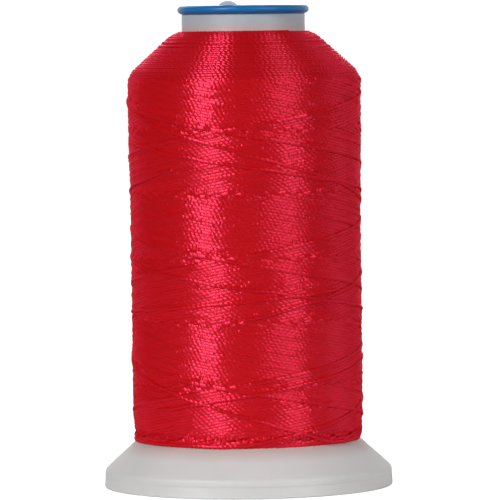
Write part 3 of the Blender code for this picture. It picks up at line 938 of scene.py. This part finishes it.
class SPOOL_OT_thread(Operator):
    """Wind the outer strands: strokes on the side, turns on the shoulder and loose strands across them"""

    bl_idname = "spool.thread"
    bl_label = "Thread package"

    def execute(self, context):
        thread = context.scene.spool_thread
        size = context.scene.spool_moulding
        surface = Surface(thread, size)
        winder = Winder(surface, thread)
        strands = wind_strokes(winder, thread)
        hide_covered(winder, strands)
        mean = relief(winder)
        red = thread_material(thread)
        lots = [(f"thread_strokes_{index + 1}", strands[index::STROKE_PIECES], thread.press)
                for index in range(STROKE_PIECES)]
        lots.append(("thread_shoulder", [wind_shoulder(winder, thread, mean)], thread.loose_press))
        lots.append(("thread_strays", lay_strays(winder), thread.loose_press))
        for name, runs, press in lots:
            mesh = StrandMesh(winder, thread, mean, press)
            for strand in runs:
                tint = 0.5 + thread.tone_spread * (winder.random.uniform() - 0.5)
                # The shoulder's turns take the darkest tone: painted shade, since the up-facing shoulder
                # takes more of the high lamps than the side does.
                mesh.add(strand, 0.0 if name == "thread_shoulder" else tint)
            piece = mesh.build(name, red)
            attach(piece, "spool")
            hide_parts("thread_winding")
        return {"FINISHED"}


class SPOOL_OT_thread_body(Operator):
    """Build the wound body that lies under the outer strands"""

    bl_idname = "spool.thread_body"
    bl_label = "Thread body"

    def execute(self, context):
        thread = context.scene.spool_thread
        size = context.scene.spool_moulding
        surface = Surface(thread, size)
        radius = (surface.radius - surface.normal_out * BODY_DEPTH) * MM
        height = (surface.height - surface.normal_up * BODY_DEPTH) * MM
        inside = size.barrel_radius + BODY_GAP / 2.0
        outer = np.stack((radius, height), axis=1)[::-1]
        outer = outer[outer[:, 0] > inside + BODY_LEDGE]
        low = Surface.cone_height(size, outer[-1, 0]) + BODY_GAP
        outer = outer[outer[:, 1] > low + BODY_GAP]
        foot = Surface.cone_height(size, inside) + BODY_GAP
        outline = np.concatenate((
            ((inside, outer[0, 1]),), outer, ((outer[-1, 0], low), (inside, foot))))
        red = thread_material(thread)
        piece = new_piece("thread_body", turned_mesh("thread_body", outline, size.segments), red)
        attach(piece, "spool")
        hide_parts("thread_core")
        return {"FINISHED"}


class SPOOL_OT_stage(Operator):
    """Set the floor, the backdrop, the lamps and the camera"""

    bl_idname = "spool.stage"
    bl_label = "Stage"

    def execute(self, context):
        stage = context.scene.spool_stage
        self.make_floor(context)
        self.make_sky(context, stage)
        for name, azimuth, elevation, sides in LAMPS:
            power = getattr(stage, name + "_power")
            self.make_lamp(context, name + "_lamp", azimuth, elevation, sides, power)
        self.make_camera(context, stage)
        context.scene.view_settings.view_transform = "Standard"
        return {"FINISHED"}

    def make_floor(self, context):
        """A pale floor and a backdrop that show white and still take the shadow."""
        bpy.ops.mesh.primitive_plane_add(size=FLOOR_SIDE, location=(0.0, 0.0, -FLOOR_DROP))
        floor = context.object
        floor.name = "floor"
        floor.data.materials.append(self.pale_paper("pale_floor", FLOOR_GLOW))
        upright = (math.pi / 2.0, 0.0, 0.0)
        bpy.ops.mesh.primitive_plane_add(size=BACKDROP_SIDE, location=BACKDROP_PLACE, rotation=upright)
        wall = context.object
        wall.name = "backdrop"
        wall.data.materials.append(self.pale_paper("pale_backdrop", WHITE_GLOW))

    def pale_paper(self, name, near_glow):
        """Pale matt paper, lighter to the camera and in far reflections than in the light it gives."""
        material, tree, _ = new_material(name)
        tree.nodes.clear()
        paper = add_node(tree, "ShaderNodeBsdfDiffuse")
        light = add_node(tree, "ShaderNodeEmission")
        path = add_node(tree, "ShaderNodeLightPath")
        where = add_node(tree, "ShaderNodeNewGeometry")
        parts = add_node(tree, "ShaderNodeSeparateXYZ")
        tree.links.new(where.outputs["Position"], parts.inputs["Vector"])
        reach = add_node(tree, "ShaderNodeVectorMath", operation="LENGTH")
        tree.links.new(where.outputs["Position"], reach.inputs[0])
        distance = reach.outputs["Value"]
        tree.links.new(value_range(tree, distance, PAPER_TONES, PAPER_RUN), paper.inputs["Color"])
        shown = self.glow(
            tree, distance, (near_glow, WHITE_GLOW), FLOOR_GLOW_RUN, path.outputs["Is Camera Ray"])
        mirrored = add_node(tree, "ShaderNodeMath", operation="ADD", use_clamp=True)
        tree.links.new(path.outputs["Is Glossy Ray"], mirrored.inputs[0])
        tree.links.new(path.outputs["Is Transmission Ray"], mirrored.inputs[1])
        mirror = self.glow(
            tree, parts.outputs["Y"], (0.0, WHITE_GLOW), MIRROR_RUN, mirrored.outputs["Value"])
        strength = add_node(tree, "ShaderNodeMath", operation="ADD")
        tree.links.new(shown, strength.inputs[0])
        tree.links.new(mirror, strength.inputs[1])
        tree.links.new(strength.outputs["Value"], light.inputs["Strength"])
        both = add_node(tree, "ShaderNodeAddShader")
        out = add_node(tree, "ShaderNodeOutputMaterial")
        tree.links.new(paper.outputs["BSDF"], both.inputs[0])
        tree.links.new(light.outputs["Emission"], both.inputs[1])
        tree.links.new(both.outputs["Shader"], out.inputs["Surface"])
        return material

    def glow(self, tree, place, levels, run, seen):
        """Glow that changes over a run of distances, for one kind of ray."""
        strength = add_node(tree, "ShaderNodeMath", operation="MULTIPLY")
        tree.links.new(value_range(tree, place, levels, run), strength.inputs[0])
        tree.links.new(seen, strength.inputs[1])
        return strength.outputs["Value"]

    def make_sky(self, context, stage):
        world = bpy.data.worlds.new("soft_surround")
        context.scene.world = world
        world.use_nodes = True
        background = world.node_tree.nodes["Background"]
        background.inputs["Color"].default_value = (1.0, 1.0, 1.0, 1.0)
        background.inputs["Strength"].default_value = stage.sky

    def make_lamp(self, context, name, azimuth, elevation, sides, power):
        lamp = bpy.data.lights.new(name, "AREA")
        lamp.shape = "RECTANGLE"
        lamp.size, lamp.size_y = sides
        lamp.energy = power
        holder = bpy.data.objects.new(name, lamp)
        context.scene.collection.objects.link(holder)
        turn, rise = math.radians(azimuth), math.radians(elevation)
        middle = Vector((0.0, 0.0, (cad_box[0].z + cad_box[1].z) / 2.0))
        back = Vector((math.sin(turn) * math.cos(rise), -math.cos(turn) * math.cos(rise), math.sin(rise)))
        holder.location = middle + back * LAMP_DISTANCE
        holder.rotation_mode = "QUATERNION"
        holder.rotation_quaternion = (-back).to_track_quat("-Z", "Y")

    def make_camera(self, context, stage):
        camera = bpy.data.cameras.new("camera")
        focal = stage.pixels_per_metre * stage.camera_distance
        camera.sensor_width = 36.0
        camera.lens = focal / IMAGE_SIDE * camera.sensor_width
        camera.clip_start = 0.01
        camera.clip_end = 20.0
        holder = bpy.data.objects.new("camera", camera)
        context.scene.collection.objects.link(holder)
        down = math.atan((IMAGE_SIDE / 2.0 - stage.horizon_down) / focal)
        aside = math.atan((stage.middle_right - IMAGE_SIDE / 2.0) / focal)
        look = Matrix.Rotation(aside, 4, "Z") @ Matrix.Rotation(math.pi / 2.0 - down, 4, "X")
        look = look @ Matrix.Rotation(-stage.roll, 4, "Z")
        holder.matrix_world = Matrix.Translation((0.0, -stage.camera_distance, stage.camera_height)) @ look
        context.scene.camera = holder


class SPOOL_PT_panel(Panel):
    """Lists the pieces in the 3D view's sidebar"""

    bl_label = "Thread spool"
    bl_idname = "SPOOL_PT_panel"
    bl_space_type = "VIEW_3D"
    bl_region_type = "UI"
    bl_category = "Spool"

    def draw(self, context):
        for operator in OPERATORS:
            self.layout.operator(operator.bl_idname)


OPERATORS = (SPOOL_OT_base_cap, SPOOL_OT_barrel, SPOOL_OT_top_ring, SPOOL_OT_thread_body, SPOOL_OT_thread,
             SPOOL_OT_stage)
CLASSES = (MouldingSettings, ThreadSettings, StageSettings, *OPERATORS, SPOOL_PT_panel)


def register():
    for item in CLASSES:
        bpy.utils.register_class(item)
    bpy.types.Scene.spool_moulding = PointerProperty(type=MouldingSettings)
    bpy.types.Scene.spool_thread = PointerProperty(type=ThreadSettings)
    bpy.types.Scene.spool_stage = PointerProperty(type=StageSettings)


def unregister():
    del bpy.types.Scene.spool_stage
    del bpy.types.Scene.spool_thread
    del bpy.types.Scene.spool_moulding
    for item in reversed(CLASSES):
        bpy.utils.unregister_class(item)


def main():
    register()
    bpy.ops.spool.base_cap()
    bpy.ops.spool.barrel()
    bpy.ops.spool.top_ring()
    bpy.ops.spool.thread_body()
    bpy.ops.spool.thread()
    bpy.ops.spool.stage()


if __name__ == "__main__":
    main()
